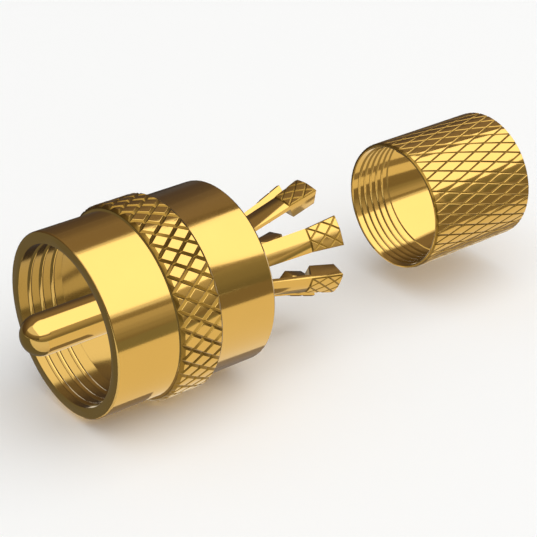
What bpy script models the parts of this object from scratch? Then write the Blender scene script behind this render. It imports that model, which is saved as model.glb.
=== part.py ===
"""A UHF cable plug for cable clamped without solder, with its retaining barrel taken off.

The plug lies along X on the knurled band of its nut: the pin points to -X, and the barrel
stands off at +X on the same axis. Places along the axis are stations, measured from the
front rim of the coupling nut towards the barrel.
"""

from math import cos, hypot, pi, radians, sin, sqrt

import bmesh
import bpy
from mathutils import Matrix, Vector

MM = 0.001

# Clearances between pieces
CONTACT_GAP = 0.3 * MM
NUT_TO_BARREL_GAP = 0.5 * MM

# Coupling nut
NUT_RADIUS = 9.13 * MM
NUT_LENGTH = 17.84 * MM
NUT_REAR_CHAMFER = 0.3 * MM
NUT_RIM_CHAMFER = 0.12 * MM
NUT_THREAD_RADIUS = 7.94 * MM
NUT_THREAD_LENGTH = 4.9 * MM
NUT_RELIEF_RADIUS = 8.15 * MM
NUT_LIP_STATION = 13.4 * MM
NUT_LIP_LENGTH = 1.4 * MM

# Knurled band of the nut: wide grooves of both hands
BAND_RADIUS = 9.72 * MM
BAND_STATION = 6.58 * MM
BAND_LENGTH = 4.7 * MM
BAND_ROWS = 4
BAND_GROOVE_DEPTH = 0.28 * MM
BAND_GROOVE_WIDTH = 0.38 * MM
BAND_BEVEL = 0.35 * MM
BAND_PHASE = radians(0)

# Plug body
SHELL_STATION = 8.2 * MM
SHELL_RADIUS = 6.0 * MM
SHELL_BORE_RADIUS = 4.9 * MM
NOTCH_WIDTH = 1.2 * MM
NOTCH_DEPTH = 0.9 * MM
FLANGE_RADIUS = 7.2 * MM
FLANGE_LENGTH = 2.1 * MM
NECK_RADIUS = 6.3 * MM
COLLAR_RADIUS = 5.85 * MM
COLLAR_THREAD_HEIGHT = 0.25 * MM
COLLAR_END_STATION = 19.4 * MM
COLLAR_CHAMFER = 0.25 * MM
CABLE_BORE_RADIUS = 3.0 * MM

# Spring clip behind the lip of the nut
CLIP_LENGTH = 0.8 * MM
CLIP_INNER_RADIUS = 5.6 * MM
CLIP_OUTER_RADIUS = 6.95 * MM
CLIP_OPENING = radians(40)

# Insulator bead
BEAD_STATION = 9.9 * MM
BEAD_LENGTH = 3.4 * MM

# Centre pin
PIN_RADIUS = 2.0 * MM
PIN_PROTRUSION = 4.37 * MM
PIN_CORE_RADIUS = 1.5 * MM
PIN_COLLAR_RADIUS = 2.4 * MM
PIN_COLLAR_LENGTH = 1.0 * MM
NEEDLE_RADIUS = 0.8 * MM
NEEDLE_TIP_STATION = 23.5 * MM
NEEDLE_POINT_LENGTH = 3.0 * MM

# Clamping jaws, measured open
JAW_COUNT = 6
JAW_ROOT_OUTER_RADIUS = 3.6 * MM
JAW_ROOT_WIDTH = 2.3 * MM
JAW_HEAD_STATION = 25.62 * MM
JAW_HEAD_OUTER_RADIUS = 5.24 * MM
JAW_HEAD_ROOT_WIDTH = 2.44 * MM
JAW_TIP_STATION = 28.79 * MM
JAW_TIP_OUTER_RADIUS = 6.23 * MM
JAW_TIP_WIDTH = 3.1 * MM
JAW_NECK_THICKNESS = 0.5 * MM
JAW_HEAD_THICKNESS = 1.8 * MM
JAW_HEAD_ROOT_LEAN = 1.0 * MM
JAW_TIP_LEAN = 0.2 * MM
JAW_SIDE_TAPER = 0.31
JAW_GROOVE_WIDTH = 0.2 * MM
JAW_GROOVE_DEPTH = 0.11 * MM
JAW_KNURL_ROWS = 4
JAW_KNURL_COLUMNS = 4
JAW_CLOSING = radians(7.5)

# Retaining barrel
BARREL_RADIUS = 6.8 * MM
BARREL_LENGTH = 13.3 * MM
BARREL_OFF_STATION = 40.48 * MM
BARREL_MOUTH_CHAMFER = 0.1 * MM
BARREL_THREAD_LENGTH = 4.8 * MM
BARREL_CONE_STEP = 0.25 * MM
BARREL_END_WALL = 0.8 * MM
BARREL_CABLE_HOLE_RADIUS = 3.6 * MM
BARREL_ROWS = 7
BARREL_GROOVE_DEPTH = 0.1 * MM
BARREL_GROOVE_WIDTH = 0.18 * MM
BARREL_MOUTH_BEVEL = 0.25 * MM
BARREL_REAR_BEVEL = 0.08 * MM
BARREL_PHASE = radians(5.35)

# Grooves of each hand round a knurl, and sides of each kind of round piece
KNURL_GROOVES = 36
KNURLED_SIDES = 2 * KNURL_GROOVES
BODY_SIDES = 48
PIN_SIDES = 32
NOSE_STEPS = 8
SHARP_ANGLE = radians(30)

# Places that follow from the sizes above
NUT_LIP_END = NUT_LIP_STATION + NUT_LIP_LENGTH
CLIP_STATION = NUT_LIP_END + CONTACT_GAP
CLIP_END = CLIP_STATION + CLIP_LENGTH
COLLAR_STATION = CLIP_END + CONTACT_GAP
FLANGE_END = NUT_LIP_STATION - CONTACT_GAP
FLANGE_STATION = FLANGE_END - FLANGE_LENGTH
BEAD_END = BEAD_STATION + BEAD_LENGTH
BEAD_SEAT_STATION = BEAD_END + CONTACT_GAP
PIN_TIP_STATION = -PIN_PROTRUSION
JAW_ROOT_STATION = COLLAR_END_STATION + CONTACT_GAP
JAW_HINGE_STATION = COLLAR_END_STATION + CONTACT_GAP / 2
JAW_HINGE_RADIUS = JAW_ROOT_OUTER_RADIUS - JAW_NECK_THICKNESS / 2
BARREL_BORE_RADIUS = COLLAR_RADIUS + COLLAR_THREAD_HEIGHT + CONTACT_GAP
BARREL_END_STATION = BARREL_OFF_STATION + BARREL_LENGTH
MIDDLE_STATION = (PIN_TIP_STATION + BARREL_END_STATION) / 2
AXIS_HEIGHT = BAND_RADIUS


def closed_tip():
    """Station and outer radius of a jaw's tip when the barrel is home."""
    along = JAW_TIP_STATION - JAW_HINGE_STATION
    out = JAW_TIP_OUTER_RADIUS - JAW_HINGE_RADIUS
    station = JAW_HINGE_STATION + along * cos(JAW_CLOSING) + out * sin(JAW_CLOSING)
    radius = JAW_HINGE_RADIUS + out * cos(JAW_CLOSING) - along * sin(JAW_CLOSING)
    return station, radius


def clear_scene():
    for thing in list(bpy.data.objects):
        bpy.data.objects.remove(thing, do_unlink=True)


def material(name, colour, roughness, metallic):
    made = bpy.data.materials.new(name)
    made.use_nodes = True
    shader = made.node_tree.nodes["Principled BSDF"]
    shader.inputs["Base Color"].default_value = (*colour, 1.0)
    shader.inputs["Roughness"].default_value = roughness
    shader.inputs["Metallic"].default_value = metallic
    made.diffuse_color = (*colour, 1.0)
    return made


def on_circle(station, radius, angle):
    """A point round the X axis, with angle 0 straight up."""
    return Vector((station, -radius * sin(angle), radius * cos(angle)))


def ring(bm, station, radius, sides, phase=0.0):
    step = 2 * pi / sides
    return [bm.verts.new(on_circle(station, radius, phase + i * step)) for i in range(sides)]


def bridge(bm, first, second):
    """One band of faces between two rings with as many points."""
    count = len(first)
    for i in range(count):
        after = (i + 1) % count
        bm.faces.new((first[i], first[after], second[after], second[i]))


def mesh_from(bm, name):
    bmesh.ops.remove_doubles(bm, verts=bm.verts, dist=1e-8)
    bmesh.ops.recalc_face_normals(bm, faces=bm.faces)
    mesh = bpy.data.meshes.new(name)
    bm.to_mesh(mesh)
    bm.free()
    mesh.shade_smooth()
    mesh.set_sharp_from_angle(angle=SHARP_ANGLE)
    return mesh


def turned_mesh(name, profile, sides):
    """A profile of (station, radius) points spun round the X axis, closed by its own ends."""
    bm = bmesh.new()
    points = [bm.verts.new((station, 0.0, radius)) for station, radius in profile]
    edges = [bm.edges.new(pair) for pair in zip(points, points[1:])]
    if profile[0][1] > 0:
        edges.append(bm.edges.new((points[-1], points[0])))
    bmesh.ops.spin(
        bm,
        geom=points + edges,
        cent=(0, 0, 0),
        axis=(1, 0, 0),
        angle=2 * pi,
        steps=sides,
        use_merge=True,
    )
    return mesh_from(bm, name)


def knurl(bm, start, length, radius, rows, depth, width, front_bevel, rear_bevel, phase):
    """Flat-topped diamonds between V grooves of both hands.

    Returns the rings of points at the groove floor where the pattern starts and ends.
    """
    half_long = length / rows
    pitch = 2 * pi / KNURL_GROOVES
    half_wide = radius * pitch / 2
    floor_radius = radius - depth
    shrink = 1 - width / 2 * hypot(1 / half_long, 1 / half_wide)
    ends = {0: front_bevel, rows: -rear_bevel}
    floors = []
    for row in range(rows + 1):
        offset = phase + (row % 2) * pitch / 2
        station = start + row * half_long
        if row in ends:
            points = ring(bm, station, floor_radius, KNURLED_SIDES, phase)
            floors.append(points[row % 2 :: 2])
            ends[row] = (points, ends[row])
        else:
            floors.append(ring(bm, station, floor_radius, KNURL_GROOVES, offset))

    for row in range(rows + 1):
        station = start + row * half_long
        for cell in range(KNURL_GROOVES):
            centre = phase + (cell + 0.5 + (row % 2) / 2) * pitch
            beside = (cell + row % 2) % KNURL_GROOVES
            left = floors[row][cell]
            right = floors[row][(cell + 1) % KNURL_GROOVES]
            if row in ends:
                points, bevel = ends[row]
                middle = points[(2 * cell + 1 + row % 2) % KNURLED_SIDES]
                other = floors[1 if row == 0 else rows - 1][beside]
                towards = 1 if row == 0 else -1
                side = pitch / 2 * (shrink - abs(bevel) / half_long)
                top_left = bm.verts.new(on_circle(station + bevel, radius, centre - side))
                top_right = bm.verts.new(on_circle(station + bevel, radius, centre + side))
                peak = station + towards * half_long * shrink
                top_peak = bm.verts.new(on_circle(peak, radius, centre))
                bm.faces.new((top_left, top_right, top_peak))
                bm.faces.new((left, middle, top_left))
                bm.faces.new((middle, top_right, top_left))
                bm.faces.new((middle, right, top_right))
                bm.faces.new((right, other, top_peak, top_right))
                bm.faces.new((other, left, top_left, top_peak))
            else:
                front = floors[row - 1][beside]
                rear = floors[row + 1][beside]
                side = pitch / 2 * shrink
                reach = half_long * shrink
                top_left = bm.verts.new(on_circle(station, radius, centre - side))
                top_right = bm.verts.new(on_circle(station, radius, centre + side))
                top_front = bm.verts.new(on_circle(station - reach, radius, centre))
                top_rear = bm.verts.new(on_circle(station + reach, radius, centre))
                bm.faces.new((top_front, top_left, top_rear))
                bm.faces.new((top_front, top_rear, top_right))
                bm.faces.new((left, front, top_front, top_left))
                bm.faces.new((front, right, top_right, top_front))
                bm.faces.new((right, rear, top_rear, top_right))
                bm.faces.new((rear, left, top_left, top_rear))
    return ends[0][0], ends[rows][0]


def skin(bm, first, profile, last, phase):
    """Rings along a profile, bridged from the ring of points first to the ring last."""
    before = first
    for station, radius in profile:
        after = ring(bm, station, radius, KNURLED_SIDES, phase)
        bridge(bm, before, after)
        before = after
    bridge(bm, before, last)


def place(name, mesh, surface, station, axis):
    """An object whose mesh is drawn from the front rim of the nut, with its origin at a station."""
    mesh.transform(Matrix.Translation((-station, 0, 0)))
    made = bpy.data.objects.new(name, mesh)
    bpy.context.scene.collection.objects.link(made)
    mesh.materials.append(surface)
    made.parent = axis
    made.location = (station, 0, 0)
    return made


def coupling_nut(axis, surface):
    bm = bmesh.new()
    band_end = BAND_STATION + BAND_LENGTH
    lip_radius = NECK_RADIUS + CONTACT_GAP
    rear_bore_radius = BARREL_RADIUS + NUT_TO_BARREL_GAP
    front, rear = knurl(
        bm,
        BAND_STATION,
        BAND_LENGTH,
        BAND_RADIUS,
        BAND_ROWS,
        BAND_GROOVE_DEPTH,
        BAND_GROOVE_WIDTH,
        BAND_BEVEL,
        BAND_BEVEL,
        BAND_PHASE,
    )
    profile = [
        (BAND_STATION, NUT_RADIUS),
        (NUT_RIM_CHAMFER, NUT_RADIUS),
        (0.0, NUT_RADIUS - NUT_RIM_CHAMFER),
        (0.0, NUT_THREAD_RADIUS),
        (NUT_THREAD_LENGTH, NUT_THREAD_RADIUS),
        (NUT_THREAD_LENGTH, NUT_RELIEF_RADIUS),
        (NUT_LIP_STATION, NUT_RELIEF_RADIUS),
        (NUT_LIP_STATION, lip_radius),
        (NUT_LIP_END, lip_radius),
        (NUT_LIP_END, rear_bore_radius),
        (NUT_LENGTH, rear_bore_radius),
        (NUT_LENGTH, NUT_RADIUS - NUT_REAR_CHAMFER),
        (NUT_LENGTH - NUT_REAR_CHAMFER, NUT_RADIUS),
        (band_end, NUT_RADIUS),
    ]
    skin(bm, front, profile, rear, BAND_PHASE)
    return place("coupling_nut", mesh_from(bm, "coupling_nut"), surface, 0.0, axis)


def notch_cutter(name, turn, body):
    """A bar across the mouth of the front shell, which cuts two notches opposite each other."""
    mesh = bpy.data.meshes.new(name)
    bm = bmesh.new()
    bmesh.ops.create_cube(bm, size=1.0)
    size = (2 * NOTCH_DEPTH, NOTCH_WIDTH, 2 * FLANGE_RADIUS)
    bmesh.ops.scale(bm, vec=size, verts=bm.verts)
    bm.to_mesh(mesh)
    bm.free()
    cutter = bpy.data.objects.new(name, mesh)
    bpy.context.scene.collection.objects.link(cutter)
    cutter.parent = body
    cutter.rotation_euler = (turn, 0, 0)
    cutter.hide_render = True
    cutter.display_type = "WIRE"
    cut = body.modifiers.new(name, "BOOLEAN")
    cut.object = cutter
    cut.operation = "DIFFERENCE"
    cut.solver = "EXACT"


def plug_body(axis, surface):
    groove_radius = CLIP_INNER_RADIUS - CONTACT_GAP
    profile = [
        (SHELL_STATION, SHELL_BORE_RADIUS),
        (SHELL_STATION, SHELL_RADIUS),
        (FLANGE_STATION, SHELL_RADIUS),
        (FLANGE_STATION, FLANGE_RADIUS),
        (FLANGE_END, FLANGE_RADIUS),
        (FLANGE_END, NECK_RADIUS),
        (NUT_LIP_END, NECK_RADIUS),
        (NUT_LIP_END, groove_radius),
        (COLLAR_STATION, groove_radius),
        (COLLAR_STATION, COLLAR_RADIUS),
        (COLLAR_END_STATION - COLLAR_CHAMFER, COLLAR_RADIUS),
        (COLLAR_END_STATION, COLLAR_RADIUS - COLLAR_CHAMFER),
        (COLLAR_END_STATION, CABLE_BORE_RADIUS),
        (BEAD_SEAT_STATION, CABLE_BORE_RADIUS),
        (BEAD_SEAT_STATION, SHELL_BORE_RADIUS),
    ]
    mesh = turned_mesh("plug_body", profile, BODY_SIDES)
    body = place("plug_body", mesh, surface, SHELL_STATION, axis)
    notch_cutter("upright_notches", 0.0, body)
    notch_cutter("level_notches", pi / 2, body)
    return body


def coupling_clip(axis, surface):
    """An open ring of square section, its opening underneath."""
    bm = bmesh.new()
    corners = [
        (CLIP_STATION, CLIP_INNER_RADIUS),
        (CLIP_STATION, CLIP_OUTER_RADIUS),
        (CLIP_END, CLIP_OUTER_RADIUS),
        (CLIP_END, CLIP_INNER_RADIUS),
    ]
    first_angle = pi + CLIP_OPENING / 2
    turn = 2 * pi - CLIP_OPENING
    section = [bm.verts.new(on_circle(station, radius, first_angle)) for station, radius in corners]
    face = bm.faces.new(section)
    bmesh.ops.spin(
        bm,
        geom=[face],
        cent=(0, 0, 0),
        axis=(1, 0, 0),
        angle=turn,
        steps=round(BODY_SIDES * turn / (2 * pi)),
    )
    return place("coupling_clip", mesh_from(bm, "coupling_clip"), surface, CLIP_STATION, axis)


def insulator(axis, surface):
    outer = SHELL_BORE_RADIUS - CONTACT_GAP
    inner = PIN_CORE_RADIUS + CONTACT_GAP
    profile = [
        (BEAD_STATION, inner),
        (BEAD_STATION, outer),
        (BEAD_END, outer),
        (BEAD_END, inner),
    ]
    mesh = turned_mesh("insulator", profile, BODY_SIDES)
    return place("insulator", mesh, surface, BEAD_STATION, axis)


def centre_pin(axis, surface):
    nose_centre = PIN_TIP_STATION + PIN_RADIUS
    profile = []
    for step in range(NOSE_STEPS + 1):
        turn = pi / 2 * step / NOSE_STEPS
        profile.append((nose_centre - PIN_RADIUS * cos(turn), PIN_RADIUS * sin(turn)))
    shoulder = BEAD_STATION - CONTACT_GAP
    collar = BEAD_END + CONTACT_GAP
    collar_end = collar + PIN_COLLAR_LENGTH
    profile += [
        (shoulder, PIN_RADIUS),
        (shoulder, PIN_CORE_RADIUS),
        (collar, PIN_CORE_RADIUS),
        (collar, PIN_COLLAR_RADIUS),
        (collar_end, PIN_COLLAR_RADIUS),
        (collar_end, NEEDLE_RADIUS),
        (NEEDLE_TIP_STATION - NEEDLE_POINT_LENGTH, NEEDLE_RADIUS),
        (NEEDLE_TIP_STATION, 0.0),
    ]
    mesh = turned_mesh("centre_pin", profile, PIN_SIDES)
    return place("centre_pin", mesh, surface, PIN_TIP_STATION, axis)


def jaw_back(station, radius, width, across):
    """A point on a jaw's rounded back, with across from -1 to 1 over its width."""
    side = across * width / 2
    return Vector((station, side, sqrt(radius * radius - side * side)))


def jaw_inner_face(bm, station, radius, width, thickness, lean):
    """The two inner corners of a jaw's section, right then left."""
    back = sqrt(radius * radius - width * width / 4)
    half = width / 2 - JAW_SIDE_TAPER * thickness
    right = bm.verts.new((station + lean, half, back - thickness))
    left = bm.verts.new((station + lean, -half, back - thickness))
    return [right, left]


def jaw_head_back(row, column, depth):
    """A point on the back of a jaw's head, in rows along it and columns across it."""
    along = row / JAW_KNURL_ROWS
    across = 2 * column / JAW_KNURL_COLUMNS - 1
    station = JAW_HEAD_STATION + along * (JAW_TIP_STATION - JAW_HEAD_STATION)
    radius = JAW_HEAD_OUTER_RADIUS + along * (JAW_TIP_OUTER_RADIUS - JAW_HEAD_OUTER_RADIUS)
    width = JAW_HEAD_ROOT_WIDTH + along * (JAW_TIP_WIDTH - JAW_HEAD_ROOT_WIDTH)
    return jaw_back(station, radius - depth, width, across)


def jaw_head_knurl(bm):
    """Raised diamonds on the back of a jaw's head. Returns the points of the groove floor."""
    half_long = (JAW_TIP_STATION - JAW_HEAD_STATION) / JAW_KNURL_ROWS
    half_wide = (JAW_TIP_WIDTH + JAW_HEAD_ROOT_WIDTH) / 2 / JAW_KNURL_COLUMNS
    shrink = 1 - JAW_GROOVE_WIDTH / 2 * hypot(1 / half_long, 1 / half_wide)
    bevel = JAW_GROOVE_WIDTH / 2 / half_long
    places = [(i, j) for i in range(JAW_KNURL_ROWS + 1) for j in range(JAW_KNURL_COLUMNS + 1)]
    floor = {}
    for row, column in places:
        if (row + column) % 2 == 0:
            floor[row, column] = bm.verts.new(jaw_head_back(row, column, JAW_GROOVE_DEPTH))
    for row, column in places:
        if (row + column) % 2 == 0:
            continue
        inward_row = (row == 0) - (row == JAW_KNURL_ROWS)
        inward_column = (column == 0) - (column == JAW_KNURL_COLUMNS)
        low = []
        high = []
        for down, over in ((-1, 0), (0, 1), (1, 0), (0, -1)):
            if (row + down, column + over) not in floor:
                continue
            along_edge = (inward_row and over) or (inward_column and down)
            reach = shrink - bevel if along_edge else shrink
            top_row = row + down * reach
            top_column = column + over * reach
            if along_edge:
                top_row += inward_row * bevel
                top_column += inward_column * bevel
            low.append(floor[row + down, column + over])
            high.append(bm.verts.new(jaw_head_back(top_row, top_column, 0.0)))
        bm.faces.new(high)
        bridge(bm, low, high)
    return floor


def jaw_mesh():
    """One jaw, drawn as the top one: a thin neck and a thick head with a knurled back."""
    bm = bmesh.new()
    floor = jaw_head_knurl(bm)
    across = range(0, JAW_KNURL_COLUMNS + 1, 2)
    along = range(0, JAW_KNURL_ROWS + 1, 2)
    neck_radius = JAW_HEAD_OUTER_RADIUS - JAW_GROOVE_DEPTH
    neck_lean = JAW_HEAD_ROOT_LEAN * JAW_NECK_THICKNESS / JAW_HEAD_THICKNESS
    root_back = []
    for column in across:
        side = 2 * column / JAW_KNURL_COLUMNS - 1
        point = jaw_back(JAW_ROOT_STATION, JAW_ROOT_OUTER_RADIUS, JAW_ROOT_WIDTH, side)
        root_back.append(bm.verts.new(point))
    root_inner = jaw_inner_face(
        bm, JAW_ROOT_STATION, JAW_ROOT_OUTER_RADIUS, JAW_ROOT_WIDTH, JAW_NECK_THICKNESS, 0.0
    )
    neck_inner = jaw_inner_face(
        bm, JAW_HEAD_STATION, neck_radius, JAW_HEAD_ROOT_WIDTH, JAW_NECK_THICKNESS, neck_lean
    )
    head_inner = jaw_inner_face(
        bm,
        JAW_HEAD_STATION,
        JAW_HEAD_OUTER_RADIUS,
        JAW_HEAD_ROOT_WIDTH,
        JAW_HEAD_THICKNESS,
        JAW_HEAD_ROOT_LEAN,
    )
    tip_inner = jaw_inner_face(
        bm, JAW_TIP_STATION, JAW_TIP_OUTER_RADIUS, JAW_TIP_WIDTH, JAW_HEAD_THICKNESS, JAW_TIP_LEAN
    )
    root = root_back + root_inner
    neck_end = [floor[0, column] for column in across] + neck_inner
    tip = [floor[JAW_KNURL_ROWS, column] for column in across] + tip_inner
    right_edge = [floor[row, JAW_KNURL_COLUMNS] for row in along]
    left_edge = [floor[row, 0] for row in along]
    bm.faces.new(root)
    bridge(bm, root, neck_end)
    bm.faces.new(neck_inner + head_inner[::-1])
    bm.faces.new(right_edge + [tip_inner[0], head_inner[0], neck_inner[0]])
    bm.faces.new(left_edge + [tip_inner[1], head_inner[1], neck_inner[1]])
    bm.faces.new(head_inner + tip_inner[::-1])
    bm.faces.new(tip)
    mesh = mesh_from(bm, "jaw")
    mesh.transform(Matrix.Translation((-JAW_HINGE_STATION, 0, -JAW_HINGE_RADIUS)))
    return mesh


def jaws(axis, surface):
    mesh = jaw_mesh()
    mesh.materials.append(surface)
    for number in range(JAW_COUNT):
        angle = 2 * pi * number / JAW_COUNT
        jaw = bpy.data.objects.new(f"jaw_{number + 1}", mesh)
        bpy.context.scene.collection.objects.link(jaw)
        jaw.parent = axis
        jaw.location = on_circle(JAW_HINGE_STATION, JAW_HINGE_RADIUS, angle)
        jaw.rotation_euler = (angle, 0, 0)


def retaining_barrel(axis, surface):
    bm = bmesh.new()
    start = BARREL_OFF_STATION
    end = BARREL_END_STATION
    tip_station, tip_radius = closed_tip()
    step_station = start + BARREL_THREAD_LENGTH
    cone_start_radius = BARREL_BORE_RADIUS - BARREL_CONE_STEP
    wall_station = end - BARREL_END_WALL
    floor_radius = tip_radius + CONTACT_GAP
    front, rear = knurl(
        bm,
        start,
        BARREL_LENGTH,
        BARREL_RADIUS,
        BARREL_ROWS,
        BARREL_GROOVE_DEPTH,
        BARREL_GROOVE_WIDTH,
        BARREL_MOUTH_BEVEL,
        BARREL_REAR_BEVEL,
        BARREL_PHASE,
    )
    profile = [
        (start, BARREL_BORE_RADIUS + BARREL_MOUTH_CHAMFER),
        (start + BARREL_MOUTH_CHAMFER, BARREL_BORE_RADIUS),
        (step_station, BARREL_BORE_RADIUS),
        (step_station, cone_start_radius),
        (wall_station, floor_radius),
        (wall_station, BARREL_CABLE_HOLE_RADIUS),
        (end, BARREL_CABLE_HOLE_RADIUS),
    ]
    skin(bm, front, profile, rear, BARREL_PHASE)
    return place("retaining_barrel", mesh_from(bm, "retaining_barrel"), surface, start, axis)


def build():
    clear_scene()
    nut_gold = material("nut_gold", (0.84, 0.62, 0.22), 0.12, 1.0)
    body_gold = material("body_gold", (0.82, 0.60, 0.21), 0.14, 1.0)
    pin_gold = material("pin_gold", (0.86, 0.64, 0.24), 0.10, 1.0)
    jaw_gold = material("jaw_gold", (0.83, 0.61, 0.21), 0.14, 1.0)
    barrel_gold = material("barrel_gold", (0.84, 0.62, 0.22), 0.12, 1.0)
    clip_gold = material("clip_gold", (0.80, 0.60, 0.24), 0.20, 1.0)
    bead_white = material("bead_white", (0.86, 0.85, 0.81), 0.50, 0.0)
    axis = bpy.data.objects.new("connector_axis", None)
    bpy.context.scene.collection.objects.link(axis)
    axis.location = (-MIDDLE_STATION, 0, AXIS_HEIGHT)
    coupling_nut(axis, nut_gold)
    plug_body(axis, body_gold)
    coupling_clip(axis, clip_gold)
    insulator(axis, bead_white)
    centre_pin(axis, pin_gold)
    jaws(axis, jaw_gold)
    retaining_barrel(axis, barrel_gold)


build()
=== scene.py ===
# %% [markdown]
# # A gold plated cable plug, taken apart along its axis
# The plug lies on the knurled band of its coupling nut. Its pin points left, its six clamping
# jaws point right, and the barrel that closes the jaws stands off by itself on the same axis.
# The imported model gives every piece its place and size. This script adds what the eye sees on
# them, which is edges, threads and plating, and builds the studio round them.

# %% Load the frame
from math import cos, pi, radians, sin

import bpy
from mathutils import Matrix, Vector


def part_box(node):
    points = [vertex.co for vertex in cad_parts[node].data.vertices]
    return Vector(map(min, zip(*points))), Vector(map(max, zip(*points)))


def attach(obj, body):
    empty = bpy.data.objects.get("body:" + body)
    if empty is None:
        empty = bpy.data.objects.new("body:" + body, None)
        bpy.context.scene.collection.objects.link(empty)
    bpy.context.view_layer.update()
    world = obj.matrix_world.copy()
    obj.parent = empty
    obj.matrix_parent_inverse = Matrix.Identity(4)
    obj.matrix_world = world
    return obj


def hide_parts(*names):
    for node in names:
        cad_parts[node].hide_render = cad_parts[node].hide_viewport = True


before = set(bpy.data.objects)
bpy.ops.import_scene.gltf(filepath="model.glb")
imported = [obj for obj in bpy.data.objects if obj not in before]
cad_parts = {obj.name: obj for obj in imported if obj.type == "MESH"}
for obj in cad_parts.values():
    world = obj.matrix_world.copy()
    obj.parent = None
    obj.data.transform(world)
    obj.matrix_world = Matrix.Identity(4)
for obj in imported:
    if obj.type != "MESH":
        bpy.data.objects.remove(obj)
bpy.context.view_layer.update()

MM = 0.001
nut_low, nut_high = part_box("coupling_nut")
barrel_low, barrel_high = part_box("retaining_barrel")
RIM_X = nut_low.x
AXIS_HEIGHT = (nut_low.z + nut_high.z) / 2
print(f"frame: {len(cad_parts)} nodes, axis {AXIS_HEIGHT / MM:.2f} mm above the floor")

# %% [markdown]
# ## The camera
# The photograph looks down on the plug from the front left through a fairly long lens. One
# could turn the camera until the picture looks right, but a camera that is worked out from the
# outlines gives the same perspective: near circles and far circles shrink as they should. So
# it is placed from the middle of the nut's rim, with a heading and a dip.

# %% Camera
CAMERA_FROM_RIM = Vector((-70.87, -120.77, 80.35)) * MM
CAMERA_HEADING = radians(38.15)
CAMERA_DIP = radians(28.17)
CAMERA_LENS_MM = 116.9
SENSOR_WIDTH_MM = 36.0

lens = bpy.data.cameras.new("studio_camera")
lens.lens = CAMERA_LENS_MM
lens.sensor_width = SENSOR_WIDTH_MM
lens.clip_start = 1 * MM
camera = bpy.data.objects.new("studio_camera", lens)
bpy.context.scene.collection.objects.link(camera)
camera.location = Vector((RIM_X, 0, AXIS_HEIGHT)) + CAMERA_FROM_RIM
camera.rotation_euler = (pi / 2 - CAMERA_DIP, 0, -CAMERA_HEADING)
bpy.context.scene.camera = camera
print(f"camera: {camera.location.length / MM:.0f} mm from the frame's origin")

# %% [markdown]
# ## Small helpers
# Operators act on whatever is selected, so each piece starts with a clean selection. Faces,
# edges and points are then picked by a test on their place. Colours are written as they look
# on a screen and turned to linear light once.

# %% Helpers
def start_clean():
    """Nothing selected and nothing in edit mode."""
    if bpy.context.mode != "OBJECT":
        bpy.ops.object.mode_set(mode="OBJECT")
    bpy.ops.object.select_all(action="DESELECT")


def only(piece):
    start_clean()
    piece.select_set(True)
    bpy.context.view_layer.objects.active = piece


def pick(piece, test):
    """Selects the faces that pass a test and leaves the piece in edit mode."""
    only(piece)
    bpy.ops.object.mode_set(mode="EDIT")
    bpy.ops.mesh.select_mode(type="FACE")
    bpy.ops.mesh.select_all(action="DESELECT")
    bpy.ops.object.mode_set(mode="OBJECT")
    for face in piece.data.polygons:
        face.select = test(face)
    bpy.ops.object.mode_set(mode="EDIT")


def linear(code):
    """Linear light of a colour written as six hex digits."""
    channels = [int(code[i:i + 2], 16) / 255 for i in (0, 2, 4)]
    return [c / 12.92 if c <= 0.04045 else ((c + 0.055) / 1.055) ** 2.4 for c in channels]


def apply_all(piece):
    only(piece)
    for modifier in list(piece.modifiers):
        bpy.ops.object.modifier_apply(modifier=modifier.name)


def shown(piece, body, surface):
    """Puts a finished piece on its body with its finish. No piece is mirrored in another."""
    piece.data.materials.clear()
    piece.data.materials.append(surface)
    piece.visible_glossy = False
    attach(piece, body)
    print(f"{piece.name}: {len(piece.data.polygons)} faces")


# %% [markdown]
# ## Shader nodes
# A material is a tree of nodes. One small function adds a node, sets its options and fills
# each input with a value or with a link, so that each material below reads from top to bottom.
# An input goes by its name, or by its place where names repeat: i0 is the first one.

# %% One function for nodes
def add_node(tree, kind, settings=None, **inputs):
    """One shader node: its settings by name, and each input as a value or as a link."""
    made = tree.nodes.new(kind)
    for name, value in (settings or {}).items():
        setattr(made, name, value)
    for name, value in inputs.items():
        place = int(name[1:]) if name[0] == "i" and name[1:].isdigit() else name.replace("_", " ")
        socket = made.inputs[place]
        if isinstance(value, bpy.types.NodeSocket):
            tree.links.new(value, socket)
        else:
            socket.default_value = value
    return made


def plain_material(name, colour, roughness):
    made = bpy.data.materials.new(name)
    made.use_nodes = True
    shader = made.node_tree.nodes["Principled BSDF"]
    shader.inputs["Base Color"].default_value = (*linear(colour), 1)
    shader.inputs["Roughness"].default_value = roughness
    return made


# %% [markdown]
# ## The floor
# The floor is a large sheet of white paper. It is matt, so it takes the soft shadow of the
# plug and shows no reflection.

# %% Floor
FLOOR_COLOUR = "fbfbfa"
FLOOR_ROUGHNESS = 0.9
FLOOR_SIDE = 3.0

start_clean()
bpy.ops.mesh.primitive_plane_add(size=FLOOR_SIDE, location=(0, 0, 0))
floor = bpy.context.object
floor.name = "floor"
paper = plain_material("white_paper_floor", FLOOR_COLOUR, FLOOR_ROUGHNESS)
paper.node_tree.nodes["Principled BSDF"].inputs["Specular IOR Level"].default_value = 0.0
floor.data.materials.append(paper)
print(f"floor: {FLOOR_SIDE:.0f} m square")

# %% [markdown]
# ## Glowing cards for painted reflections
# Polished metal has hardly a colour of its own: it shows the room. A product photographer
# lights gold with one large soft box, and stands dark cards beside the table to give each round
# piece dark bands beside its bright stripe. The cards here stand along the plug's axis, so the
# bands run straight along it. Each card here is a painted reflection: it glows with its own
# tone, it is left out of the picture, it lights nothing and it keeps no light off the plug, so
# only the metal sees it. Its tone changes from its foot to its top, with soft streaks, because
# an even card gives a hard band that looks drawn.

# %% Card glow for painted reflections
STREAK = 30 * MM
STREAK_STRENGTH = 1.6
TONE_RISE = 0.9


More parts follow.
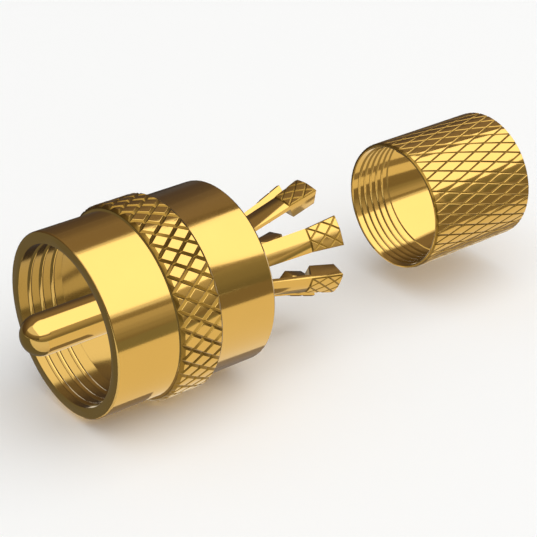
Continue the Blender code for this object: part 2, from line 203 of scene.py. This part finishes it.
def card_material(name, foot, top, low, high):
    """A glowing card for painted reflections, that goes from one tone to another between two
    heights, with soft streaks.
    """
    made = bpy.data.materials.new(name)
    made.use_nodes = True
    tree = made.node_tree
    tree.nodes.clear()
    place = add_node(tree, "ShaderNodeTexCoord")
    parts = add_node(tree, "ShaderNodeSeparateXYZ", Vector=place.outputs["Object"])
    level = add_node(tree, "ShaderNodeCombineXYZ", X=0.0, Y=0.0, Z=parts.outputs["Z"])
    streaks = add_node(
        tree, "ShaderNodeTexNoise",
        Vector=level.outputs[0], Scale=1 / STREAK, Detail=3.0, Roughness=0.6,
    )
    rise = add_node(
        tree, "ShaderNodeMapRange",
        Value=parts.outputs["Z"], i1=low, i2=high,
        i3=-STREAK_STRENGTH / 2, i4=TONE_RISE - STREAK_STRENGTH / 2,
    )
    share = add_node(
        tree, "ShaderNodeMath", {"operation": "MULTIPLY_ADD", "use_clamp": True},
        i0=streaks.outputs["Fac"], i1=STREAK_STRENGTH, i2=rise.outputs[0],
    )
    tone = add_node(
        tree, "ShaderNodeMix", {"data_type": "RGBA"},
        i0=share.outputs[0], i6=(*linear(foot), 1), i7=(*linear(top), 1),
    )
    glow = add_node(tree, "ShaderNodeEmission", Color=tone.outputs[2])
    add_node(tree, "ShaderNodeOutputMaterial", Surface=glow.outputs[0])
    return made


def only_for_mirrors(card, name, surface):
    """Names a card and hides it from all but reflections."""
    card.name = name
    card.data.materials.append(surface)
    card.visible_camera = False
    card.visible_diffuse = False
    card.visible_transmission = False
    card.visible_shadow = False


# %% Standing cards
RING_CARD_RADIUS = 1300 * MM
RING_CARD_HEIGHT = 560 * MM
# Name, distance from the axis, left and right end, height, the tones of foot and top, and the
# height where the change of tone starts.
WALL_CARDS = (
    ("low_wall", -450 * MM, (-400 * MM, 170 * MM), 150 * MM, "9c9584", "dad2c2", 0),
    ("front_wall", -450 * MM, (170 * MM, 350 * MM), 270 * MM, "9c9584", "dad2c2", 0),
    ("barrel_wall", -450 * MM, (350 * MM, 1300 * MM), 280 * MM, "7e7b6c", "a5a08c", 0),
    ("back_wall", 441 * MM, (-700 * MM, 1000 * MM), 1200 * MM, "594e46", "9a8e84", 100 * MM),
    ("tall_wall", 441 * MM, (1000 * MM, 2300 * MM), 1750 * MM, "594e46", "8a7e72", 100 * MM),
)
BACK_WALL_LIGHT_LEVEL = 480 * MM

start_clean()
bpy.ops.mesh.primitive_cylinder_add(
    vertices=64, radius=RING_CARD_RADIUS, depth=RING_CARD_HEIGHT, end_fill_type="NOTHING",
    location=(0, 0, RING_CARD_HEIGHT / 2),
)
bpy.ops.object.transform_apply(location=True)
ring_glow = card_material("painted_reflection_ring", "5c5448", "a89e8c", 0, RING_CARD_HEIGHT)
only_for_mirrors(bpy.context.object, "ring_card", ring_glow)

for name, y, (left, right), height, foot, top, change_from in WALL_CARDS:
    start_clean()
    bpy.ops.mesh.primitive_plane_add(
        size=1.0, rotation=(pi / 2, 0, 0), location=((left + right) / 2, y, height / 2)
    )
    bpy.context.object.scale = (right - left, height, 1)
    bpy.ops.object.transform_apply(location=True, rotation=True, scale=True)
    change_to = min(height, BACK_WALL_LIGHT_LEVEL)
    paper = card_material(f"painted_reflection_{name}", foot, top, change_from, change_to)
    only_for_mirrors(bpy.context.object, name, paper)
    print(f"{name}: {height / MM:.0f} mm high")

# %% [markdown]
# ## Glowing cards on the table, for painted reflections
# The lower half of each round piece mirrors the table, and so do the flat front rims. The
# plug's own shadow on the floor would make those parts grey, so a warm white glowing card lies
# where the lower sides look and paints that shadow out of their reflection. On white alone the
# rims would melt into the sides, so dark glowing cards lie where the rims look, left of each of
# them and behind the plug. Grey strips on top of the white card paint a thin darker band into
# the undersides' reflection, and one paints it into the barrel's rim.

# %% Cards on the table
TABLE_CARD_LIFT = 0.2 * MM
FAR = 450 * MM
RIM_EDGE = -24.9 * MM
BARREL_EDGE = 22 * MM
# Name, tone, left and right edge, near and far edge.
TABLE_CARDS = (
    ("white_card", "fef6e1", (RIM_EDGE, BARREL_EDGE), (-48 * MM, 6.5 * MM)),
    ("white_barrel_card", "fef6e1", (BARREL_EDGE, FAR), (-17 * MM, 15 * MM)),
    ("rim_card", "747470", (-FAR, RIM_EDGE), (-3.5 * MM, FAR)),
    ("far_card", "4a423c", (RIM_EDGE, BARREL_EDGE), (6.5 * MM, FAR)),
    ("far_barrel_card", "59524e", (BARREL_EDGE, FAR), (15 * MM, FAR)),
    ("front_card", "908f80", (-FAR, BARREL_EDGE), (-FAR, -48 * MM)),
    ("barrel_card", "8e8474", (BARREL_EDGE, FAR), (-FAR, -17 * MM)),
)
TABLE_STRIPS = (
    ("nut_strip", "948a80", (RIM_EDGE, -18.5 * MM), (-7 * MM, -2 * MM)),
    ("nut_rear_strip", "948a80", (-12 * MM, 0), (-6.3 * MM, -2 * MM)),
    ("barrel_strip", "9a9080", (15 * MM, 40 * MM), (-6 * MM, -2 * MM)),
    ("barrel_rim_strip", "a8a294", (0.5 * MM, 14 * MM), (-3 * MM, 26 * MM)),
)


def table_card(name, tone, across, along, lift):
    (left, right), (near, far) = across, along
    start_clean()
    bpy.ops.mesh.primitive_plane_add(
        size=1.0, location=((left + right) / 2, (near + far) / 2, lift)
    )
    bpy.context.object.scale = (right - left, far - near, 1)
    bpy.ops.object.transform_apply(location=True, scale=True)
    # Each table card glows with one flat tone and is a painted reflection.
    paper = card_material(f"paper_{name}", tone, tone, 0, FAR)
    only_for_mirrors(bpy.context.object, name, paper)
    print(f"{name}: {(right - left) / MM:.0f} by {(far - near) / MM:.0f} mm")


for row in TABLE_CARDS:
    table_card(*row, TABLE_CARD_LIFT)
for row in TABLE_STRIPS:
    table_card(*row, 2 * TABLE_CARD_LIFT)

# %% [markdown]
# ## The soft box and the room
# The soft box hangs over the front, so the top of each round piece gets one broad bright
# stripe. The white room fills the shadows. What the lens and the metal see of the room is
# plain white, as bright as paper.

# %% Soft box and room
SOFT_BOX_DISTANCE = 1500 * MM
SOFT_BOX_LEAN = radians(23)
SOFT_BOX_SHIFT = 900 * MM
SOFT_BOX_SIZE = (4500 * MM, 2490 * MM)
SOFT_BOX_RADIANCE = 0.9
WORLD_FILL = 0.54

soft_box_light = bpy.data.lights.new("soft_box", "AREA")
soft_box_light.shape = "RECTANGLE"
soft_box_light.size, soft_box_light.size_y = SOFT_BOX_SIZE
soft_box_light.energy = SOFT_BOX_RADIANCE * pi * SOFT_BOX_SIZE[0] * SOFT_BOX_SIZE[1]
soft_box = bpy.data.objects.new("soft_box", soft_box_light)
bpy.context.scene.collection.objects.link(soft_box)
over = Vector((0, -sin(SOFT_BOX_LEAN), cos(SOFT_BOX_LEAN)))
soft_box.location = over * SOFT_BOX_DISTANCE + Vector((SOFT_BOX_SHIFT, 0, 0))
soft_box.rotation_euler = (SOFT_BOX_LEAN, 0, 0)
soft_box.visible_camera = False

world = bpy.data.worlds.new("white_room")
bpy.context.scene.world = world
world.use_nodes = True
tree = world.node_tree
tree.nodes.clear()
path = add_node(tree, "ShaderNodeLightPath")
seen_or_mirrored = add_node(
    tree, "ShaderNodeMath", {"operation": "MAXIMUM"},
    i0=path.outputs["Is Camera Ray"], i1=path.outputs["Is Glossy Ray"],
)
seen = add_node(
    tree, "ShaderNodeMath", {"operation": "MAXIMUM"},
    i0=seen_or_mirrored.outputs[0], i1=path.outputs["Is Transmission Ray"],
)
fill = add_node(tree, "ShaderNodeBackground", Color=(1, 1, 1, 1), Strength=WORLD_FILL)
white = add_node(tree, "ShaderNodeBackground", Color=(1, 1, 1, 1), Strength=1.0)
mixed = add_node(
    tree, "ShaderNodeMixShader",
    i0=seen.outputs[0], i1=fill.outputs[0], i2=white.outputs[0],
)
add_node(tree, "ShaderNodeOutputWorld", Surface=mixed.outputs[0])

bpy.context.scene.view_settings.view_transform = "Standard"
print(f"soft box: {soft_box_light.energy:.2f} W at {SOFT_BOX_DISTANCE / MM:.0f} mm")

# %% [markdown]
# ## Gold plating
# The pieces are turned from brass and plated with gold, which keeps the metal bright. Turning
# leaves fine rings round the axis, on the sides and on the flat ends alike, and polishing
# softens them. A noise that is read along the axis and along the radius, and not round it,
# gives such rings on every turned face at once. Real rings are a few hundredths of a
# millimetre apart, too fine for the picture, so they are drawn about 0.15 mm apart. A slow
# cloud changes the tone and the roughness a little, as handling does. The pin is polished
# most, so its highlights are the sharpest. The turned sides, the milled jaws, the nut's bore
# and the grooves of the knurl are each a little duller than the one before. The bore and the
# grooves also get a darker gold, which is painted shade.

# %% Gold
GOLD = "ddb463"
# Painted shade: the grooves of the knurl get this darker gold.
GROOVE_SHADE_GOLD = "8f6f30"
# Painted shade: the nut's bore gets this darker gold.
BORE_SHADE_GOLD = "b4924e"
RING_SPACING = 0.15 * MM
RING_DEPTH = 0.002 * MM
CLOUD_SIZE = 4 * MM
CLOUD_SHADE = 0.94
CLOUD_ROUGHNESS = (0.8, 1.3)


def gold_plating(name, colour, roughness, ring_strength):
    """Polished plated brass: a metal whose roughness and fine rings change a little."""
    made = bpy.data.materials.new(name)
    made.use_nodes = True
    tree = made.node_tree
    shader = tree.nodes["Principled BSDF"]
    shader.inputs["Metallic"].default_value = 1.0
    place = add_node(tree, "ShaderNodeTexCoord")
    centred = add_node(
        tree, "ShaderNodeMapping",
        Vector=place.outputs["Object"], Location=(0, 0, -AXIS_HEIGHT),
    )
    parts = add_node(tree, "ShaderNodeSeparateXYZ", Vector=centred.outputs[0])
    flat = add_node(
        tree, "ShaderNodeCombineXYZ", X=0.0, Y=parts.outputs["Y"], Z=parts.outputs["Z"]
    )
    out = add_node(tree, "ShaderNodeVectorMath", {"operation": "LENGTH"}, i0=flat.outputs[0])
    turned = add_node(
        tree, "ShaderNodeCombineXYZ", X=parts.outputs["X"], Y=out.outputs["Value"], Z=0.0
    )
    rings = add_node(
        tree, "ShaderNodeTexNoise",
        Vector=turned.outputs[0], Scale=1 / RING_SPACING, Detail=2.0, Roughness=0.6,
    )
    cloud = add_node(
        tree, "ShaderNodeTexNoise",
        Vector=place.outputs["Object"], Scale=1 / CLOUD_SIZE, Detail=3.0,
    )
    low = [c * CLOUD_SHADE for c in linear(colour)]
    tone = add_node(
        tree, "ShaderNodeMix", {"data_type": "RGBA"},
        i0=cloud.outputs["Fac"], i6=(*low, 1), i7=(*linear(colour), 1),
    )
    tree.links.new(tone.outputs[2], shader.inputs["Base Color"])
    smoothest, roughest = (roughness * share for share in CLOUD_ROUGHNESS)
    rough = add_node(
        tree, "ShaderNodeMapRange", Value=cloud.outputs["Fac"], i3=smoothest, i4=roughest
    )
    tree.links.new(rough.outputs[0], shader.inputs["Roughness"])
    bump = add_node(
        tree, "ShaderNodeBump",
        Strength=ring_strength, Distance=RING_DEPTH, Height=rings.outputs["Fac"],
    )
    tree.links.new(bump.outputs[0], shader.inputs["Normal"])
    return made


nut_gold = gold_plating(
    "gold_plated_brass_turned", GOLD, roughness=0.10, ring_strength=0.35
)
pin_gold = gold_plating(
    "gold_plated_brass_polished", GOLD, roughness=0.08, ring_strength=0.15
)
jaw_gold = gold_plating(
    "gold_plated_brass_milled", GOLD, roughness=0.13, ring_strength=0.25
)
groove_shade_gold = gold_plating(
    "gold_knurl_grooves_painted_shade", GROOVE_SHADE_GOLD, roughness=0.28, ring_strength=0.15
)
bore_shade_gold = gold_plating(
    "gold_bore_painted_shade", BORE_SHADE_GOLD, roughness=0.16, ring_strength=0.35
)
print("gold: five finishes of one plating")

# %% [markdown]
# ## Bead plastic
# The bead between pin and body is turned from a white fluoropolymer, which is waxy and dull.

# %% Bead plastic
BEAD_COLOUR = "e9e6de"
BEAD_ROUGHNESS = 0.45
BEAD_WAXINESS = 0.05

bead_plastic = plain_material("white_fluoropolymer_turned", BEAD_COLOUR, BEAD_ROUGHNESS)
bead_shader = bead_plastic.node_tree.nodes["Principled BSDF"]
bead_shader.inputs["Subsurface Weight"].default_value = BEAD_WAXINESS
print(f"bead: {BEAD_COLOUR}, roughness {BEAD_ROUGHNESS}")

# %% [markdown]
# ## Turned pieces with broken edges
# No turned edge is perfectly sharp: a light chamfer takes the burr off, and it shows as a thin
# bright line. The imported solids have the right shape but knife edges, and their triangles are
# loose. So each visible piece is a copy of its solid, with the points merged, flat faces made
# whole again, and a very small bevel along every sharp edge.

# %% Broken edges
EDGE_BREAK = 0.05 * MM
FINE_EDGE_BREAK = 0.03 * MM
SHARP = radians(28)
SAME_POINT = 0.0005 * MM
FLAT = radians(0.5)


def broken_edges(name, node, width=EDGE_BREAK):
    """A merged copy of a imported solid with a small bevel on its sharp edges."""
    start_clean()
    piece = bpy.data.objects.new(name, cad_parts[node].data.copy())
    bpy.context.scene.collection.objects.link(piece)
    only(piece)
    bpy.ops.object.mode_set(mode="EDIT")
    bpy.ops.mesh.select_all(action="SELECT")
    bpy.ops.mesh.remove_doubles(threshold=SAME_POINT)
    bpy.ops.mesh.dissolve_limited(angle_limit=FLAT)
    bpy.ops.object.mode_set(mode="OBJECT")
    bevel = piece.modifiers.new("edge_break", "BEVEL")
    bevel.width = width
    bevel.segments = 2
    bevel.limit_method = "ANGLE"
    bevel.angle_limit = SHARP
    apply_all(piece)
    bpy.ops.object.shade_smooth_by_angle(angle=SHARP)
    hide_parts(node)
    return piece


# %% Turned and milled pieces
nut = broken_edges("nut_shell", "coupling_nut")
shown(nut, "nut", nut_gold)
barrel = broken_edges("barrel_shell", "retaining_barrel", FINE_EDGE_BREAK)
shown(barrel, "barrel", nut_gold)
body = broken_edges("body_turning", "plug_body")
shown(body, "plug", nut_gold)
clip = broken_edges("spring_clip", "coupling_clip", FINE_EDGE_BREAK)
shown(clip, "plug", jaw_gold)
bead = broken_edges("insulator_bead", "insulator")
shown(bead, "plug", bead_plastic)
jaws = []
for number in range(1, 7):
    jaw = broken_edges(f"clamping_jaw_{number}", f"jaw_{number}", FINE_EDGE_BREAK)
    shown(jaw, f"clamp_{number}", jaw_gold)
    jaws.append(jaw)

# %% [markdown]
# ## The nut's bore, with painted shade
# Neither the plating current nor the buffing wheel reaches well into a bore, so the gold there
# is thinner and rougher than outside. The faces that look to the axis inside the nut get this
# rougher finish, and a darker gold as well, which is painted shade for the inside of the bore.
# The barrel's bore is wide and short, and the wheel does reach it.

# %% Dull bore with painted shade
NUT_BORE_RADIUS = 8.3 * MM
END_FACE = 0.9


def second_finish(piece, test, finish):
    """Gives another finish to the faces that pass a test."""
    piece.data.materials.append(finish)
    pick(piece, test)
    piece.active_material_index = len(piece.data.materials) - 1
    bpy.ops.object.material_slot_assign()
    bpy.ops.object.mode_set(mode="OBJECT")
    print(f"{piece.name}: {finish.name} on part of it")


def from_axis(point):
    return Vector((0, point.y, point.z - AXIS_HEIGHT)).length


def in_bore(face):
    return from_axis(face.center) < NUT_BORE_RADIUS and abs(face.normal.x) < END_FACE


# Painted shade: the faces inside the nut's bore get the darker gold.
second_finish(nut, in_bore, bore_shade_gold)

# %% [markdown]
# ## Grooves of the knurl, with painted shade
# A knurling wheel presses the grooves in, and the buffing that makes the gold shine afterwards
# runs over them. So the flat tops are polished, while the grooves stay rougher. The grooves
# also get a darker gold, which is painted shade in them. The grooves could be painted by a
# pattern, but the real ones are there as faces, so those faces are picked by how far they lie
# under the surface round them, and get the rougher, darker finish.

# %% Dull grooves with painted shade
BAND_SPAN = (6.58 * MM, 11.28 * MM)
BAND_RADII = (9.72 * MM, 9.72 * MM)
BAND_DEPTHS = (0.06 * MM, 0.4 * MM)
BARREL_SPAN = (barrel_low.x - RIM_X, barrel_high.x - RIM_X)
BARREL_RADII = (6.8 * MM, 6.8 * MM)
BARREL_DEPTHS = (0.03 * MM, 0.15 * MM)
JAW_HEAD_SPAN = (25.62 * MM, 28.79 * MM)
JAW_HEAD_RADII = (5.24 * MM, 6.23 * MM)
JAW_HEAD_DEPTHS = (0.035 * MM, 0.2 * MM)
SPAN_MARGIN = 0.02


def dull_and_shade_grooves(piece, span, radii, depths):
    """Gives the groove finish, rougher and with a darker gold as painted shade, to faces that lie
    between two depths under a cone.
    """
    def in_groove(face):
        along = (face.center.x - RIM_X - span[0]) / (span[1] - span[0])
        surface = radii[0] + along * (radii[1] - radii[0])
        depth = surface - from_axis(face.center)
        return -SPAN_MARGIN <= along <= 1 + SPAN_MARGIN and depths[0] < depth < depths[1]

    second_finish(piece, in_groove, groove_shade_gold)


# Painted shade: the grooves of the nut, the barrel and the jaw heads get the darker gold.
dull_and_shade_grooves(nut, BAND_SPAN, BAND_RADII, BAND_DEPTHS)
dull_and_shade_grooves(barrel, BARREL_SPAN, BARREL_RADII, BARREL_DEPTHS)
for jaw in jaws:
    dull_and_shade_grooves(jaw, JAW_HEAD_SPAN, JAW_HEAD_RADII, JAW_HEAD_DEPTHS)

# %% [markdown]
# ## The centre pin
# The pin is turned in one piece: a 4 mm nose that plugs into the socket, a thin core through
# the bead, a collar, and a needle that is pushed into the cable. A lathe profile could be
# spun, but a cylinder whose end face is pulled out and made narrower step by step is how one
# would draw it by hand, and it keeps the round nose smooth.

# %% Pulling an end face out
POINT = 0.0001 * MM


def grow(x, radius, steps):
    """Pulls the selected end face along the axis to each place, and scales it to each radius."""
    for next_x, next_radius in steps:
        bpy.ops.mesh.extrude_region_move(TRANSFORM_OT_translate={"value": (next_x - x, 0, 0)})
        share = max(next_radius, POINT) / radius
        bpy.ops.transform.resize(
            value=(1, share, share), center_override=(next_x, 0, AXIS_HEIGHT)
        )
        x = next_x
        radius = next_radius
    if radius == 0:
        bpy.ops.mesh.merge(type="CENTER")


# %% Centre pin
PIN_RADIUS = 2.0 * MM
PIN_SIDES = 96
NOSE_STEPS = 16
PIN_SHOULDER = 9.6 * MM
PIN_COLLAR = (13.6 * MM, 14.6 * MM)
PIN_CORE_RADIUS = 1.5 * MM
PIN_COLLAR_RADIUS = 2.4 * MM
NEEDLE_RADIUS = 0.8 * MM
NEEDLE_TAPER = 20.5 * MM

pin_low, pin_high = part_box("centre_pin")
nose = pin_low.x + PIN_RADIUS
shoulder = RIM_X + PIN_SHOULDER
start_clean()
bpy.ops.mesh.primitive_cylinder_add(
    vertices=PIN_SIDES, radius=PIN_RADIUS, depth=shoulder - nose,
    location=((nose + shoulder) / 2, 0, AXIS_HEIGHT), rotation=(0, pi / 2, 0),
)
pin = bpy.context.object
pin.name = "contact_pin"
bpy.ops.object.transform_apply(location=True, rotation=True)
pick(pin, lambda face: face.normal.x < -END_FACE)
angles = [pi / 2 * step / NOSE_STEPS for step in range(1, NOSE_STEPS)]
nose_steps = [(nose - PIN_RADIUS * sin(a), PIN_RADIUS * cos(a)) for a in angles]
grow(nose, PIN_RADIUS, nose_steps + [(pin_low.x, 0)])
pick(pin, lambda face: face.normal.x > END_FACE)
collar, collar_end = (RIM_X + x for x in PIN_COLLAR)
grow(shoulder, PIN_RADIUS, [
    (shoulder, PIN_CORE_RADIUS),
    (collar, PIN_CORE_RADIUS),
    (collar, PIN_COLLAR_RADIUS),
    (collar_end, PIN_COLLAR_RADIUS),
    (collar_end, NEEDLE_RADIUS),
    (RIM_X + NEEDLE_TAPER, NEEDLE_RADIUS),
    (pin_high.x, 0),
])
bpy.ops.mesh.select_all(action="SELECT")
bpy.ops.mesh.normals_make_consistent(inside=False)
bpy.ops.object.mode_set(mode="OBJECT")
bpy.ops.object.shade_smooth_by_angle(angle=SHARP)
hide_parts("centre_pin")
shown(pin, "plug", pin_gold)

# %% [markdown]
# ## Threads
# A thread is one ridge that winds along a bore or a shaft. The ridge's section is drawn above
# the axis: a thin strip at the wall, whose edge is pulled out and narrowed three times, down
# to a fine crest. A Screw modifier then winds it, which keeps the pitch exact. The strip lies
# a little inside the metal, so no gap shows.

# %% Thread section
FOOT_DEPTH = 0.04 * MM
RIDGE_FOOT = 0.4
RIDGE_STEPS = ((0.35, 0.28), (0.7, 0.16), (1.0, 0.05))
RIDGE_SMOOTH = radians(60)
THREAD_SIDES = 72
TO_AXIS, FROM_AXIS = 1, -1


def ridge_section(name, first, wall, height, pitch, inward):
    """The outline of a ridge, pointing to the axis or away from it."""
    foot = wall + inward * FOOT_DEPTH
    start_clean()
    bpy.ops.mesh.primitive_plane_add(
        size=1.0, location=(first, 0, (wall + foot) / 2), rotation=(pi / 2, 0, 0)
    )
    piece = bpy.context.object
    piece.name = name
    piece.scale = (pitch * RIDGE_FOOT, FOOT_DEPTH, 1)
    bpy.ops.object.transform_apply(location=True, rotation=True, scale=True)
    bpy.ops.object.mode_set(mode="EDIT")
    bpy.ops.mesh.select_mode(type="VERT")
    bpy.ops.mesh.select_all(action="DESELECT")
    bpy.ops.object.mode_set(mode="OBJECT")
    for point in piece.data.vertices:
        point.select = abs(point.co.z - wall) < FOOT_DEPTH / 2
    bpy.ops.object.mode_set(mode="EDIT")
    up, wide = 0.0, RIDGE_FOOT
    for next_up, next_wide in RIDGE_STEPS:
        lift = -inward * height * (next_up - up)
        bpy.ops.mesh.extrude_region_move(TRANSFORM_OT_translate={"value": (0, 0, lift)})
        bpy.ops.transform.resize(value=(next_wide / wide, 1, 1), center_override=(first, 0, wall))
        up, wide = next_up, next_wide
    bpy.ops.mesh.select_all(action="SELECT")
    bpy.ops.mesh.dissolve_faces()
    bpy.ops.mesh.delete(type="ONLY_FACE")
    bpy.ops.object.mode_set(mode="OBJECT")
    return piece


# %% Winding a section
def wind(piece, turns, pitch):
    """Winds a section round the axis and closes its two ends."""
    screw = piece.modifiers.new("wind", "SCREW")
    screw.axis = "X"
    screw.angle = 2 * pi * turns
    screw.screw_offset = pitch * turns
    screw.steps = screw.render_steps = round(THREAD_SIDES * turns)
    apply_all(piece)
    bpy.ops.object.mode_set(mode="EDIT")
    bpy.ops.mesh.select_all(action="DESELECT")
    bpy.ops.mesh.select_non_manifold()
    bpy.ops.mesh.fill_holes(sides=0)
    bpy.ops.mesh.select_all(action="SELECT")
    bpy.ops.transform.translate(value=(0, 0, AXIS_HEIGHT))
    bpy.ops.mesh.normals_make_consistent(inside=False)
    bpy.ops.object.mode_set(mode="OBJECT")
    bpy.ops.object.shade_smooth_by_angle(angle=RIDGE_SMOOTH)


def thread(name, body, finish, start, length, wall, height, pitch, inward):
    """A whole thread between two places: as many turns as fit, in the middle of them."""
    turns = (length - RIDGE_FOOT * pitch) / pitch
    first = RIM_X + start + RIDGE_FOOT * pitch / 2
    piece = ridge_section(name, first, wall, height, pitch, inward)
    wind(piece, turns, pitch)
    shown(piece, body, finish)
    print(f"{name}: {turns:.1f} turns")


# %% Three threads
thread(
    "nut_thread", "nut", nut_gold, start=0.05 * MM, length=4.8 * MM,
    wall=7.94 * MM, height=0.2 * MM, pitch=1.26 * MM, inward=TO_AXIS,
)
thread(
    "barrel_thread", "barrel", nut_gold, start=BARREL_SPAN[0] + 0.15 * MM,
    length=4.6 * MM, wall=6.4 * MM, height=0.22 * MM, pitch=0.8 * MM, inward=TO_AXIS,
)
thread(
    "collar_thread", "plug", nut_gold, start=16.3 * MM, length=2.7 * MM,
    wall=5.85 * MM, height=0.25 * MM, pitch=0.8 * MM, inward=FROM_AXIS,
)
